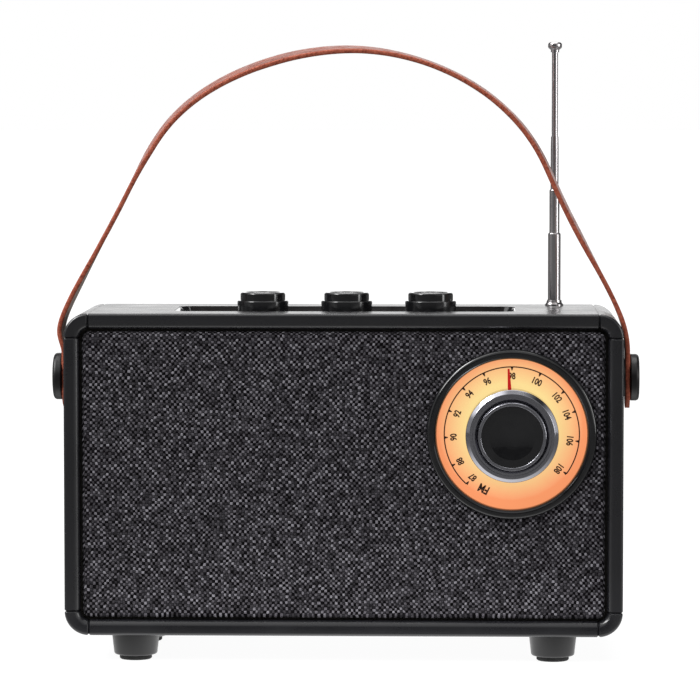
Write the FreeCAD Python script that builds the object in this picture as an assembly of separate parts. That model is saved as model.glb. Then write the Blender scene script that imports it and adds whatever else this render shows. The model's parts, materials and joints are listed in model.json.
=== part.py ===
"""Portable FM radio with a leather strap handle, a cloth grille, a round tuning dial and a telescopic aerial.

Units are millimetres. X runs to the right as seen from the front, Y to the back and Z up. The origin lies on
the surface that the radio stands on, in the middle of the whole radio as seen from above. The parts are drawn
with the cabinet's middle at Y = 0 and move back by SETBACK when they are saved.
"""

import FreeCAD, Part
import math
import os
from FreeCAD import Vector

# ---------------------------------------------------------------- driving dimensions
CAB_W, CAB_D, CAB_H = 230.0, 78.0, 133.0  # cabinet: width, depth, height
FOOT_H = 11.0  # gap between the cabinet and the table
CORNER_R = 10.0  # outer radius of the four long corners
WALL = 5.0  # thickness of the cabinet's panels
SEAM_CHAMFER = 0.6  # half the V groove between a panel and a corner
EDGE_R = 1.2  # outer front and rear edges
BEZEL_W = 6.4  # width of the rounded frame round the grille
BEAD_R = 2.8  # inner edge of that frame
BEAD_TILT = math.radians(10.0)  # slope of the frame's face where it meets the inner edge
LIP = 5.0  # depth of the frame's lip, front to back
LEDGE_W, LEDGE_D = 4.6, 4.0  # ledge that the rear cover is screwed to
COVER_T = 3.0  # rear cover
COVER_INSET = 1.0  # how far the rear cover lies inside the cabinet's back edge
FIT = 0.2  # clearance between parts that are assembled by hand

BAFFLE_T = 4.0
CLOTH_T = 0.8
GRILLE_INSET = 1.8  # the cloth's face lies this far behind the frame's face
GRILLE_GAP = 1.0  # gap between the cloth's edge and the frame
GRILLE_R = 3.0  # corners of the cloth panel

DIAL_X, DIAL_Z = 69.2, 94.6  # centre of the tuning dial
DIAL_R = 35.0  # outer radius of the dial's ring
DIAL_FACE_R = 30.9
DIAL_FACE_DEPTH = 2.0  # the dial's face lies this far behind the cabinet's front
TUNING_R = 19.0  # tuning knob
TUNING_PROUD = 12.0  # the knob's outer edge stands this far in front of the cabinet
POINTER_REACH = 27.0
POINTER_AT = math.radians(-3.0)  # where the pointer stands, clockwise from straight up

TRAY_W, TRAY_D, TRAY_R = 142.0, 40.0, 6.0  # recess for the controls on top
TRAY_DEPTH, TRAY_SLOPE = 3.2, 3.0
KNOB_X, KNOB_PITCH = 0.35, 35.2  # place of the middle knob, and the distance between knobs
KNOB_R_LOW, KNOB_R_TOP = 10.7, 9.4
KNOB_STEP_H, KNOB_TOP_H = 3.6, 7.0  # above the cabinet's top
SHAFT_R = 3.0
RUNNING = 0.1  # radial clearance of a shaft in its bush

AERIAL_X, AERIAL_Y = 88.0, 29.0
TUBE_WALL = 0.35
SECTION_R = (2.7, 2.15, 1.7, 1.3)  # outer radii of the four moving sections
TUBE_R = SECTION_R[0] + 3 * TUBE_WALL  # fixed tube inside the cabinet
SECTION_TOP = (31.0, 49.5, 72.0, 107.7)  # heights of their tops above the cabinet's top
SECTION_LEN = (60.0, 58.5, 57.0, 56.0)
AERIAL_FOOT = 4.0  # length of the thicker foot that stops a section pulling out
SLIDE_GAP = 0.05  # radial gap between a foot and the bore it slides in
AERIAL_TIP_R = 3.0
TUBE_LEN, NECK_LEN = 62.0, 1.5
FERRULE_R, FERRULE_H = 3.9, 2.4

PIVOT_Z = 115.5  # height of the strap's studs
BUTTON_R, BUTTON_T = 9.8, 3.7
SPACER_R, SPACER_T = 8.0, 1.9
STUD_R = 2.2
STRAP_T, STRAP_W = 2.0, 16.0
STRAP_GAP = 0.1  # each side of the strap, between spacer and button

FOOT_X, FOOT_Y = 86.5, 27.0
FOOT_R_TOP, FOOT_R_LOW = 9.9, 8.9
FOOT_SCREW_R = 1.6
PAD_R, PAD_PROUD, PAD_SET = 6.7, 2.0, 1.0

SPEAKER_X = (-70.0, -5.0)
SPEAKER_Z = 77.5
SPEAKER_R = 28.5  # outside of the speaker's flange
SPEAKER_HOLE = 25.0  # hole in the baffle
CONE_R, CONE_T = 22.6, 0.7
MAGNET_R, MAGNET_T = 17.0, 9.0

BUSH_R, BUSH_TOP = 3.8, 2.6  # threaded bush of a potentiometer
POT_R, POT_H = 8.0, 9.0
TRAY_T = 3.5  # thickness of the tray's floor
NUT_AF, NUT_T = 10.0, 2.0

DIAL_HOLE_R = 29.0  # hole in the baffle behind the dial
FACE_T = 1.2
HOUSING_R, HOUSING_WALL, HOUSING_PROUD = 28.6, 1.8, 4.0
POINTER_T = 0.6
CAP_R, CAP_T = 12.6, 1.6  # disc let into the tuning knob

COVER_SCREW_R, COVER_HEAD_R = 1.1, 2.1
IO_X, IO_Z = -62.0, 38.0  # middle of the socket panel
IO_HALF_W, IO_HALF_H, IO_DEPTH = 24.0, 8.0, 1.5
USB_X, AUX_X = IO_X - 12.0, IO_X + 12.0
USB_HALF_W, USB_HALF_H, USB_LEN = 4.5, 1.65, 7.5
AUX_R, AUX_NOSE_R, AUX_LEN = 1.8, 3.4, 14.0
VENT_X, VENT_Z = 0.0, 84.0
VENT_HALF_W, VENT_HALF_H, VENT_PITCH, VENTS = 32.0, 1.2, 6.0, 8
BOARD_T = 1.6

# ---------------------------------------------------------------- places worked out from them
HALF_W = CAB_W / 2
FRONT, BACK = -CAB_D / 2, CAB_D / 2
BOTTOM, TOP = FOOT_H, FOOT_H + CAB_H
SETBACK = TUNING_PROUD / 2  # half of what the knob adds in front of the cabinet
RAIL = HALF_W - CORNER_R  # half length of the top and bottom panels
CORNER_LOW, CORNER_HIGH = BOTTOM + CORNER_R, TOP - CORNER_R
LIP_BACK = FRONT + LIP
COVER_BACK = BACK - COVER_INSET
COVER_FRONT = COVER_BACK - COVER_T
BAFFLE_BACK = LIP_BACK + BAFFLE_T
CLOTH_FRONT = FRONT + GRILLE_INSET
DIAL_FACE_Y = FRONT + DIAL_FACE_DEPTH
TRAY_FLOOR = TOP - TRAY_DEPTH
TRAY_SEAT = TRAY_FLOOR - TRAY_T
CAB_MID_Z = (BOTTOM + TOP) / 2
GRILLE_HALF_W = HALF_W - BEZEL_W - GRILLE_GAP
GRILLE_HALF_H = CAB_H / 2 - BEZEL_W - GRILLE_GAP
DIAL_CENTRE = Vector(DIAL_X, 0, DIAL_Z)
POINTER_Y = DIAL_FACE_Y - 0.5 - POINTER_T  # front of the pointer, which the knob's back touches
TUNING_FACE = FRONT - TUNING_PROUD
HOUSING_BACK = BAFFLE_BACK + HOUSING_PROUD
BOARD_Y = 18.0  # front of the main board
KNOB_NAMES = ("volume", "bass", "treble")
X, Y, Z = Vector(1, 0, 0), Vector(0, 1, 0), Vector(0, 0, 1)


# ---------------------------------------------------------------- small helpers
def box(x0, x1, y0, y1, z0, z1):
    return Part.makeBox(x1 - x0, y1 - y0, z1 - z0, Vector(x0, y0, z0))


def rod(radius, start, direction, length):
    return Part.makeCylinder(radius, length, start, direction)


def ring(outer, inner, start, direction, length):
    return rod(outer, start, direction, length).cut(rod(inner, start, direction, length))


def polygon(points):
    return Part.Face(Part.makePolygon(points + [points[0]]))


def turned(outline, centre, axis, radial):
    """A solid of revolution. outline is (radius, height along axis) pairs."""
    points = [centre + radial * r + axis * h for r, h in outline]
    return polygon(points).revolve(centre, axis, 360)


def rounded_rectangle(half_a, half_b, radius, place):
    """A face with rounded corners, where place(a, b) gives a point."""
    k = radius * (1 - math.sqrt(0.5))
    edges = []
    corners = ((1, 1), (-1, 1), (-1, -1), (1, -1))
    ends = []
    for sa, sb in corners:
        along_b = place(sa * half_a, sb * (half_b - radius))
        along_a = place(sa * (half_a - radius), sb * half_b)
        middle = place(sa * (half_a - k), sb * (half_b - k))
        first, last = (along_b, along_a) if sa * sb > 0 else (along_a, along_b)
        ends.append((first, last))
        edges.append(Part.Arc(first, middle, last).toShape())
    for i in range(4):
        edges.append(Part.LineSegment(ends[i][1], ends[(i + 1) % 4][0]).toShape())
    return Part.Face(Part.Wire(Part.__sortEdges__(edges)))


def upright_plate(half_w, half_h, radius, centre_x, centre_z, y0, y1):
    """A plate with rounded corners that stands across the cabinet, from y0 to y1."""
    face = rounded_rectangle(half_w, half_h, radius, lambda a, b: Vector(centre_x + a, y0, centre_z + b))
    return face.extrude(Y * (y1 - y0))


def flat_plate(half_w, half_d, radius, z0, z1):
    face = rounded_rectangle(half_w, half_d, radius, lambda a, b: Vector(a, b, z0))
    return face.extrude(Z * (z1 - z0))


def mirrored_in_x(shape):
    return shape.mirror(Vector(0, 0, 0), X)


def edges_where(shape, test):
    return [e for e in shape.Edges if test(e)]


def circle_at(shape, axis, radius, height):
    """The circular edge of a turned shape that has this radius and this place along its axis."""

    def matches(edge):
        round_edge = isinstance(edge.Curve, Part.Circle) and abs(edge.Curve.Radius - radius) < 1e-4
        return round_edge and abs(edge.Curve.Center.dot(axis) - height) < 1e-4

    return edges_where(shape, matches)


def group(solids):
    return Part.makeCompound(solids)


# ---------------------------------------------------------------- cabinet
def wall_outline(place):
    """Cross-section of the cabinet's wall, as a face. place(u, y) has u inward from the outer surface."""
    bead_u = BEZEL_W - BEAD_R
    crown_u = bead_u + BEAD_R * math.sin(BEAD_TILT)
    drop = (crown_u - EDGE_R) * math.tan(BEAD_TILT) / 2
    bead_y = FRONT + drop + BEAD_R * math.cos(BEAD_TILT)
    bead_mid = (math.pi / 2 - BEAD_TILT) / 2
    k = EDGE_R * (1 - math.sqrt(0.5))

    def arc(a, b, c):
        return Part.Arc(place(*a), place(*b), place(*c)).toShape()

    def line(a, b):
        return Part.LineSegment(place(*a), place(*b)).toShape()

    front_out, front_in = (0, FRONT + EDGE_R), (EDGE_R, FRONT)
    crown_mid, crown_end = ((EDGE_R + crown_u) / 2, FRONT + drop / 4), (crown_u, FRONT + drop)
    bead_centre = (
        bead_u + BEAD_R * math.cos(bead_mid),
        bead_y - BEAD_R * math.sin(bead_mid),
    )
    bead_end = (BEZEL_W, bead_y)
    corners = [
        bead_end,
        (BEZEL_W, LIP_BACK),
        (WALL, LIP_BACK),
        (WALL, COVER_FRONT - LEDGE_D),
        (WALL + LEDGE_W, COVER_FRONT - LEDGE_D),
        (WALL + LEDGE_W, COVER_FRONT),
        (WALL, COVER_FRONT),
        (WALL, BACK),
        (EDGE_R, BACK),
    ]
    edges = [
        arc(front_out, (k, FRONT + k), front_in),
        arc(front_in, crown_mid, crown_end),
        arc(crown_end, bead_centre, bead_end),
    ]
    edges += [line(a, b) for a, b in zip(corners, corners[1:])]
    edges.append(arc((EDGE_R, BACK), (k, BACK - k), (0, BACK - EDGE_R)))
    edges.append(line((0, BACK - EDGE_R), front_out))
    return Part.Face(Part.Wire(edges))


def shows_outside(edge, inward):
    """True for an edge on the outer surface or the front frame. inward(point) is its depth under the surface."""
    middle = edge.CenterOfMass
    return inward(middle) < EDGE_R / 2 or middle.y < LIP_BACK - 0.1


def with_seams(piece, end_distance, inward):
    """Chamfers the visible edges of both end faces, which makes half of each V groove."""

    def at_an_end(edge):
        return max(abs(end_distance(v.Point)) for v in edge.Vertexes) < 1e-6

    seams = edges_where(piece, lambda e: at_an_end(e) and shows_outside(e, inward))
    return piece.makeChamfer(SEAM_CHAMFER, seams)


def straight_panel(place, along, half_length, inward, end_distance):
    """The wall's cross-section drawn out between two corners, with holes for the cover's screws."""
    panel = wall_outline(place).extrude(along * (2 * half_length))
    return with_seams(panel, end_distance, inward).cut(cover_screw_shanks())


def top_panel():
    panel = straight_panel(
        lambda u, y: Vector(-RAIL, y, TOP - u),
        X,
        RAIL,
        lambda p: TOP - p.z,
        lambda p: abs(p.x) - RAIL,
    )
    recess = flat_plate(TRAY_W / 2, TRAY_D / 2, TRAY_R, TOP - 2 * WALL, TOP + 1)
    aerial = rod(TUBE_R, Vector(AERIAL_X, AERIAL_Y, TOP - 2 * WALL), Z, 3 * WALL)
    return panel.cut(recess).cut(aerial)


def bottom_panel():
    panel = straight_panel(
        lambda u, y: Vector(-RAIL, y, BOTTOM + u),
        X,
        RAIL,
        lambda p: p.z - BOTTOM,
        lambda p: abs(p.x) - RAIL,
    )
    return panel.cut(foot_screws())


def right_side_panel():
    middle, half = (CORNER_LOW + CORNER_HIGH) / 2, (CORNER_HIGH - CORNER_LOW) / 2
    panel = straight_panel(
        lambda u, y: Vector(HALF_W - u, y, CORNER_LOW),
        Z,
        half,
        lambda p: HALF_W - p.x,
        lambda p: abs(p.z - middle) - half,
    )
    return panel.cut(rod(STUD_R, Vector(HALF_W - 2 * WALL, 0, PIVOT_Z), X, 3 * WALL))


def corner(sx, top):
    """One of the four long rounded corners, turned from the wall's cross-section."""
    centre = Vector(sx * RAIL, 0, CORNER_HIGH if top else CORNER_LOW)
    up = 1 if top else -1
    face = wall_outline(lambda u, y: Vector(centre.x, y, centre.z + up * (CORNER_R - u)))
    piece = face.revolve(centre, Y, 90 * sx * up)

    def inward(p):
        return CORNER_R - math.hypot(p.x - centre.x, p.z - centre.z)

    def end_distance(p):
        return min(abs(p.x - centre.x), abs(p.z - centre.z))

    return with_seams(piece, end_distance, inward)


# ---------------------------------------------------------------- grille and baffle
def speaker_holes(radius, y0, y1):
    return [rod(radius, Vector(x, y0, SPEAKER_Z), Y, y1 - y0) for x in SPEAKER_X]


def dial_hole(radius, y0, y1):
    return rod(radius, Vector(DIAL_X, y0, DIAL_Z), Y, y1 - y0)


def baffle_board():
    inner_w, inner_h = HALF_W - WALL - FIT, CAB_H / 2 - WALL - FIT
    board = upright_plate(inner_w, inner_h, WALL - FIT, 0, CAB_MID_Z, LIP_BACK, BAFFLE_BACK)
    for hole in speaker_holes(SPEAKER_HOLE, LIP_BACK - 1, BAFFLE_BACK + 1):
        board = board.cut(hole)
    return board.cut(dial_hole(DIAL_HOLE_R, LIP_BACK - 1, BAFFLE_BACK + 1))


def grille_frame():
    half_w, half_h = GRILLE_HALF_W - CLOTH_T, GRILLE_HALF_H - CLOTH_T
    front = CLOTH_FRONT + CLOTH_T
    frame = upright_plate(half_w, half_h, GRILLE_R - CLOTH_T, 0, CAB_MID_Z, front, LIP_BACK)
    for hole in speaker_holes(SPEAKER_HOLE, front - 1, LIP_BACK + 1):
        frame = frame.cut(hole)
    return frame.cut(dial_hole(DIAL_R, front - 1, LIP_BACK + 1))


def grille_cloth():
    """The cloth's face and the skirt that wraps round the frame's edge."""
    whole = upright_plate(GRILLE_HALF_W, GRILLE_HALF_H, GRILLE_R, 0, CAB_MID_Z, CLOTH_FRONT, LIP_BACK)
    inside = upright_plate(
        GRILLE_HALF_W - CLOTH_T,
        GRILLE_HALF_H - CLOTH_T,
        GRILLE_R - CLOTH_T,
        0,
        CAB_MID_Z,
        CLOTH_FRONT + CLOTH_T,
        LIP_BACK,
    )
    return whole.cut(inside).cut(dial_hole(DIAL_R, CLOTH_FRONT - 1, LIP_BACK + 1))


# ---------------------------------------------------------------- rear cover and sockets
def cover_screw_places():
    """Two screws along each edge of the rear cover, as (x, z)."""
    inset = WALL + LEDGE_W / 2
    at_sides = [(sx * (HALF_W - inset), z) for sx in (-1, 1) for z in (BOTTOM + 22, TOP - 22)]
    at_ends = [(x, z) for x in (-55.0, 55.0) for z in (BOTTOM + inset, TOP - inset)]
    return at_sides + at_ends


def cover_screw_shanks():
    length = COVER_T + LEDGE_D
    starts = [Vector(x, COVER_BACK - length, z) for x, z in cover_screw_places()]
    return group([rod(COVER_SCREW_R, start, Y, length) for start in starts])


def board_posts():
    """Four posts on the rear cover that the main board is screwed to."""
    back = BOARD_Y + BOARD_T
    return [rod(3.0, Vector(x, back, z), Y, COVER_FRONT - back) for x in (-96, -34) for z in (24, 58)]


def rear_cover():
    half_w, half_h = HALF_W - WALL - FIT, CAB_H / 2 - WALL - FIT
    cover = upright_plate(half_w, half_h, WALL - FIT, 0, CAB_MID_Z, COVER_FRONT, COVER_BACK)
    backing = upright_plate(IO_HALF_W + 2, IO_HALF_H + 2, 3.0, IO_X, IO_Z, COVER_FRONT - IO_DEPTH, COVER_FRONT)
    pocket = upright_plate(IO_HALF_W, IO_HALF_H, 2.0, IO_X, IO_Z, COVER_BACK - IO_DEPTH, COVER_BACK + 1)
    cover = cover.fuse([backing] + board_posts()).cut(pocket)
    for i in range(VENTS):
        z = VENT_Z + (i - (VENTS - 1) / 2) * VENT_PITCH
        cover = cover.cut(upright_plate(VENT_HALF_W, VENT_HALF_H, 0.98 * VENT_HALF_H, VENT_X, z, BOARD_Y, BACK))
    usb_r = USB_HALF_H + FIT
    usb_hole = upright_plate(USB_HALF_W + FIT, usb_r, 0.98 * usb_r, USB_X, IO_Z, BOARD_Y, BACK)
    aux_hole = rod(AUX_NOSE_R, Vector(AUX_X, BOARD_Y, IO_Z), Y, CAB_D / 2)
    return cover.cut(usb_hole).cut(aux_hole).cut(cover_screw_shanks()).removeSplitter()


def rear_cover_screws():
    """Domed heads with a cross recess, on shanks that reach through the ledge."""
    screws = []
    for (x, z), shank in zip(cover_screw_places(), cover_screw_shanks().Solids):
        head = rod(COVER_HEAD_R, Vector(x, COVER_BACK, z), Y, 0.9)
        head = head.makeFillet(0.5, circle_at(head, Y, COVER_HEAD_R, COVER_BACK + 0.9))
        for half_x, half_z in ((1.2, 0.25), (0.25, 1.2)):
            head = head.cut(box(x - half_x, x + half_x, COVER_BACK + 0.4, BACK, z - half_z, z + half_z))
        screws.append(head.fuse(shank).removeSplitter())
    return group(screws)


def usb_socket():
    """Oval metal shell, open to the back, with a tongue in the middle."""
    back = COVER_BACK - IO_DEPTH
    front, wall = back - USB_LEN, 0.35
    inner_w, inner_h = USB_HALF_W - wall, USB_HALF_H - wall
    shell = upright_plate(USB_HALF_W, USB_HALF_H, 0.98 * USB_HALF_H, USB_X, IO_Z, front, back)
    hollow = upright_plate(inner_w, inner_h, 0.98 * inner_h, USB_X, IO_Z, front + 1, back + 1)
    tongue = box(USB_X - 3.3, USB_X + 3.3, front, back - 1, IO_Z - wall, IO_Z + wall)
    return shell.cut(hollow).fuse(tongue).removeSplitter()


def aux_jack():
    """Moulded block with a round nose that shows in the socket panel."""
    face = COVER_BACK - IO_DEPTH + 0.8
    body_end = COVER_FRONT - IO_DEPTH
    body = box(AUX_X - 4, AUX_X + 4, face - AUX_LEN - 1, body_end, IO_Z - 3.5, IO_Z + 3.5)
    nose = rod(AUX_NOSE_R, Vector(AUX_X, body_end, IO_Z), Y, face - body_end)
    hole = rod(AUX_R, Vector(AUX_X, face - AUX_LEN, IO_Z), Y, AUX_LEN + 1)
    return body.fuse(nose).cut(hole).removeSplitter()


# ---------------------------------------------------------------- controls on top
def knob_x(i):
    return KNOB_X + (i - 1) * KNOB_PITCH


def control_tray():
    """Dish with sloping walls that fills the opening in the top panel, on a flange under the panel."""
    block = flat_plate(TRAY_W / 2, TRAY_D / 2, TRAY_R, TRAY_SEAT, TOP - FIT)
    flange = flat_plate(TRAY_W / 2 + 4, TRAY_D / 2 + 4, TRAY_R + 4, TRAY_SEAT, TOP - WALL)
    rim = 0.5
    mouth = rounded_rectangle(
        TRAY_W / 2 - rim, TRAY_D / 2 - rim, TRAY_R - rim, lambda a, b: Vector(a, b, TOP - FIT)
    )
    floor = rounded_rectangle(
        TRAY_W / 2 - TRAY_SLOPE,
        TRAY_D / 2 - TRAY_SLOPE,
        TRAY_R - TRAY_SLOPE,
        lambda a, b: Vector(a, b, TRAY_FLOOR),
    )
    dish = Part.makeLoft([mouth.OuterWire, floor.OuterWire], True, True)
    tray = block.fuse(flange).cut(dish)
    for i in range(3):
        tray = tray.cut(rod(BUSH_R, Vector(knob_x(i), 0, TRAY_SEAT - 1), Z, 3 * WALL))
    return tray.removeSplitter()


def knob(i):
    """Two-step knob with a bored boss, hollow underneath where the nut sits."""
    low, high, step = TRAY_FLOOR + 0.3, TOP + KNOB_TOP_H, TOP + KNOB_STEP_H
    nut_room, nut_room_r = TRAY_FLOOR + BUSH_TOP + 0.6, NUT_AF / 2 + 1.6
    dish_r, dish = KNOB_R_TOP - 2.0, 0.35
    outline = [
        (nut_room_r, low),
        (KNOB_R_LOW, low),
        (KNOB_R_LOW, step),
        (KNOB_R_TOP, step),
        (KNOB_R_TOP, high),
        (dish_r, high),
        (dish_r - dish, high - dish),
        (0, high - dish),
        (0, high - 2.0),
        (SHAFT_R, high - 2.0),
        (SHAFT_R, nut_room),
        (nut_room_r, nut_room),
    ]
    body = turned(outline, Vector(knob_x(i), 0, 0), Z, X)
    body = body.makeFillet(0.5, circle_at(body, Z, KNOB_R_LOW, step))
    return body.makeFillet(0.8, circle_at(body, Z, KNOB_R_TOP, high))


def knob_shaft(i):
    top = TOP + KNOB_TOP_H - 2.0
    bottom = TRAY_SEAT - POT_H + 2.0
    return rod(SHAFT_R, Vector(knob_x(i), 0, bottom), Z, top - bottom)


def potentiometer(i):
    """Round body under the tray, its bush through the tray's floor, and three solder lugs at the front."""
    x, low = knob_x(i), TRAY_SEAT - POT_H
    body = rod(POT_R, Vector(x, 0, low), Z, POT_H)
    bush = rod(BUSH_R, Vector(x, 0, TRAY_SEAT), Z, TRAY_T + BUSH_TOP)
    bore = rod(SHAFT_R + RUNNING, Vector(x, 0, low + 1.5), Z, POT_H + TRAY_T + BUSH_TOP)
    lugs = [box(x + k * 4 - 0.8, x + k * 4 + 0.8, -11, -5, low, low + 0.6) for k in (-1, 0, 1)]
    return body.fuse([bush] + lugs).cut(bore).removeSplitter()


def hexagon(across_flats, centre, height):
    reach = across_flats / math.sqrt(3)
    turns = [k * math.pi / 3 for k in range(6)]
    return polygon([centre + Vector(math.cos(a), math.sin(a), 0) * reach for a in turns]).extrude(Z * height)


def pot_nuts():
    nuts = []
    for i in range(3):
        base = Vector(knob_x(i), 0, TRAY_FLOOR)
        nuts.append(hexagon(NUT_AF, base, NUT_T).cut(rod(BUSH_R, base, Z, NUT_T)))
    return group(nuts)


def control_board():
    z = TRAY_SEAT - POT_H
    return box(-58, 58, -18, 16, z - BOARD_T, z)


# ---------------------------------------------------------------- tuning dial
def dial_turned(outline):
    """outline is (radius, y) pairs about the dial's axis."""
    return turned(outline, DIAL_CENTRE, Y, Z)


def dial_bezel():
    """Rounded ring that stands on the baffle and holds the dial's face."""
    nose, inner_lip, round_r = FRONT - 0.6, DIAL_FACE_R + 0.1, 1.7
    body = dial_turned([(inner_lip, nose), (DIAL_R, nose), (DIAL_R, LIP_BACK), (inner_lip, LIP_BACK)])
    return body.makeFillet(round_r, circle_at(body, Y, DIAL_R, nose) + circle_at(body, Y, inner_lip, nose))


def dial_face():
    back = DIAL_FACE_Y + FACE_T
    inner = SHAFT_R + 1.0
    return dial_turned([(inner, DIAL_FACE_Y), (DIAL_FACE_R, DIAL_FACE_Y), (DIAL_FACE_R, back), (inner, back)])


def dial_backlight():
    """Clear ring behind the dial's face, with the lamp board that lights it from behind."""
    front, inner = DIAL_FACE_Y + FACE_T, 6.0
    guide = dial_turned([(inner, front), (DIAL_FACE_R, front), (DIAL_FACE_R, LIP_BACK), (inner, LIP_BACK)])
    outer, back = HOUSING_R - HOUSING_WALL - FIT, LIP_BACK + BOARD_T
    lamps = dial_turned([(inner, LIP_BACK), (outer, LIP_BACK), (outer, back), (inner, back)])
    return group([guide, lamps])


def dial_housing():
    """Cup behind the dial that holds the tuning control."""
    inner, floor = HOUSING_R - HOUSING_WALL, HOUSING_BACK - HOUSING_WALL
    return dial_turned(
        [
            (HOUSING_R, LIP_BACK),
            (HOUSING_R, HOUSING_BACK),
            (BUSH_R, HOUSING_BACK),
            (BUSH_R, floor),
            (inner, floor),
            (inner, LIP_BACK),
        ]
    )


def tuning_pot():
    bore, bush_front = SHAFT_R + RUNNING, HOUSING_BACK - HOUSING_WALL - 2
    back = HOUSING_BACK + POT_H
    return dial_turned(
        [
            (bore, bush_front),
            (BUSH_R, bush_front),
            (BUSH_R, HOUSING_BACK),
            (POT_R, HOUSING_BACK),
            (POT_R, back),
            (0, back),
            (0, back - 1.5),
            (bore, back - 1.5),
        ]
    )


def tuning_shaft():
    back, front = HOUSING_BACK + POT_H - 2.0, TUNING_FACE + 4.0
    return rod(SHAFT_R, Vector(DIAL_X, front, DIAL_Z), Y, back - front)


def tuning_knob():
    """Turned knob: a bevelled rim, a groove, then a slope up to the polished lip round the cap."""
    rim, pocket = TUNING_FACE + 2.4, TUNING_FACE + 0.3 + CAP_T
    groove_r, lip_r = 15.2, CAP_R + 1.2
    body = dial_turned(
        [
            (SHAFT_R, POINTER_Y),
            (TUNING_R, POINTER_Y),
            (TUNING_R, rim + 1.4),
            (TUNING_R - 1.6, rim),
            (groove_r + 1.0, rim),
            (groove_r + 0.9, rim + 0.8),
            (groove_r, rim + 0.8),
            (lip_r, TUNING_FACE),
            (CAP_R, TUNING_FACE),
            (CAP_R, pocket),
            (0, pocket),
            (0, TUNING_FACE + 4.0),
            (SHAFT_R, TUNING_FACE + 4.0),
        ]
    )
    rounded = circle_at(body, Y, TUNING_R, rim + 1.4) + circle_at(body, Y, TUNING_R - 1.6, rim)
    body = body.makeFillet(0.5, rounded)
    lip = circle_at(body, Y, lip_r, TUNING_FACE) + circle_at(body, Y, CAP_R, TUNING_FACE)
    return body.makeFillet(0.25, lip)


def tuning_knob_cap():
    """Disc let into the knob, dished by half a millimetre."""
    front, back = TUNING_FACE + 0.3, TUNING_FACE + 0.3 + CAP_T
    disc = rod(CAP_R, DIAL_CENTRE + Y * front, Y, back - front)
    dish_r = 90.0
    dish = Part.makeSphere(dish_r, DIAL_CENTRE + Y * (front + 0.5 - dish_r))
    return disc.cut(dish)


def dial_pointer():
    """Tapered needle on a hub that the knob clamps to the shaft."""
    hub_r, root, tip = 12.0, 1.1, 0.4
    hub = ring(hub_r, SHAFT_R, DIAL_CENTRE + Y * POINTER_Y, Y, POINTER_T)
    corners = ((-root, hub_r - 1), (root, hub_r - 1), (tip, POINTER_REACH), (-tip, POINTER_REACH))
    needle = polygon([DIAL_CENTRE + Vector(x, POINTER_Y, z) for x, z in corners]).extrude(Y * POINTER_T)
    needle.rotate(DIAL_CENTRE, Y, math.degrees(POINTER_AT))
    return hub.fuse(needle).removeSplitter()


# ---------------------------------------------------------------- telescopic aerial
def aerial_turned(outline):
    return turned(outline, Vector(AERIAL_X, AERIAL_Y, 0), Z, X)


def bore_of(i):
    """Inner radius of section i, or of the fixed tube for -1."""
    return (SECTION_R[i] if i >= 0 else TUBE_R) - TUBE_WALL


def neck_of(i):
    """Radius of the rolled-in neck at the top of section i, which the next section slides through."""
    return SECTION_R[i + 1] + SLIDE_GAP


def foot_radius(i):
    return bore_of(i - 1) - SLIDE_GAP


def antenna_tube():
    """The fixed outer tube, open at both ends, inside the cabinet."""
    inner, neck, low = bore_of(-1), neck_of(-1), TOP - TUBE_LEN
    return aerial_turned(
        [
            (inner, low),
            (TUBE_R, low),
            (TUBE_R, TOP),
            (neck, TOP),
            (neck, TOP - NECK_LEN),
            (inner, TOP - NECK_LEN),
        ]
    )


def antenna_ferrule():
    """Collar that stands on the cabinet round the aerial."""
    inner, slim = SECTION_R[0] + FIT, FERRULE_R - 0.8
    return aerial_turned(
        [
            (inner, TOP),
            (FERRULE_R, TOP),
            (FERRULE_R, TOP + 0.6),
            (slim + 0.2, TOP + 1.4),
            (slim, TOP + FERRULE_H),
            (inner, TOP + FERRULE_H),
        ]
    )


def antenna_section(i, neck_len, shoulder):
    """A tube with a thicker foot below and a neck rolled in at the top."""
    outer, inner, foot_r, neck = SECTION_R[i], bore_of(i), foot_radius(i), neck_of(i)
    high = TOP + SECTION_TOP[i]
    low = high - SECTION_LEN[i]
    return aerial_turned(
        [
            (inner, low),
            (foot_r, low),
            (foot_r, low + AERIAL_FOOT),
            (outer, low + AERIAL_FOOT + 0.3),
            (outer, high - shoulder),
            (neck + 0.25, high),
            (neck, high),
            (neck, high - neck_len),
            (inner, high - neck_len),
        ]
    )


def antenna_rod():
    """The innermost rod, and the button screwed to its end as a second solid."""
    outer, foot_r = SECTION_R[3], foot_radius(3)
    high = TOP + SECTION_TOP[3]
    low = high - SECTION_LEN[3]
    stem = aerial_turned(
        [
            (0, low),
            (foot_r, low),
            (foot_r, low + AERIAL_FOOT),
            (outer, low + AERIAL_FOOT + 0.3),
            (outer, high),
            (0, high),
        ]
    )
    neck_r, neck_h, tip_h, round_r = 1.8, 1.0, 4.3, 1.1
    tip = aerial_turned(
        [
            (0, high),
            (neck_r, high),
            (neck_r, high + neck_h),
            (AERIAL_TIP_R, high + neck_h + 1.0),
            (AERIAL_TIP_R, high + tip_h),
            (0, high + tip_h),
        ]
    )
    low_edge = circle_at(tip, Z, AERIAL_TIP_R, high + neck_h + 1.0)
    tip = tip.makeFillet(round_r, circle_at(tip, Z, AERIAL_TIP_R, high + tip_h) + low_edge)
    return group([stem, tip])


# ---------------------------------------------------------------- strap handle
TAB = HALF_W + SPACER_T + STRAP_GAP + STRAP_T / 2  # distance of each tab's middle from the centre
TAB_END = PIVOT_Z - 12.8
TAB_TOP = PIVOT_Z + BUTTON_R + 0.4  # the strap is straight from here down
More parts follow.
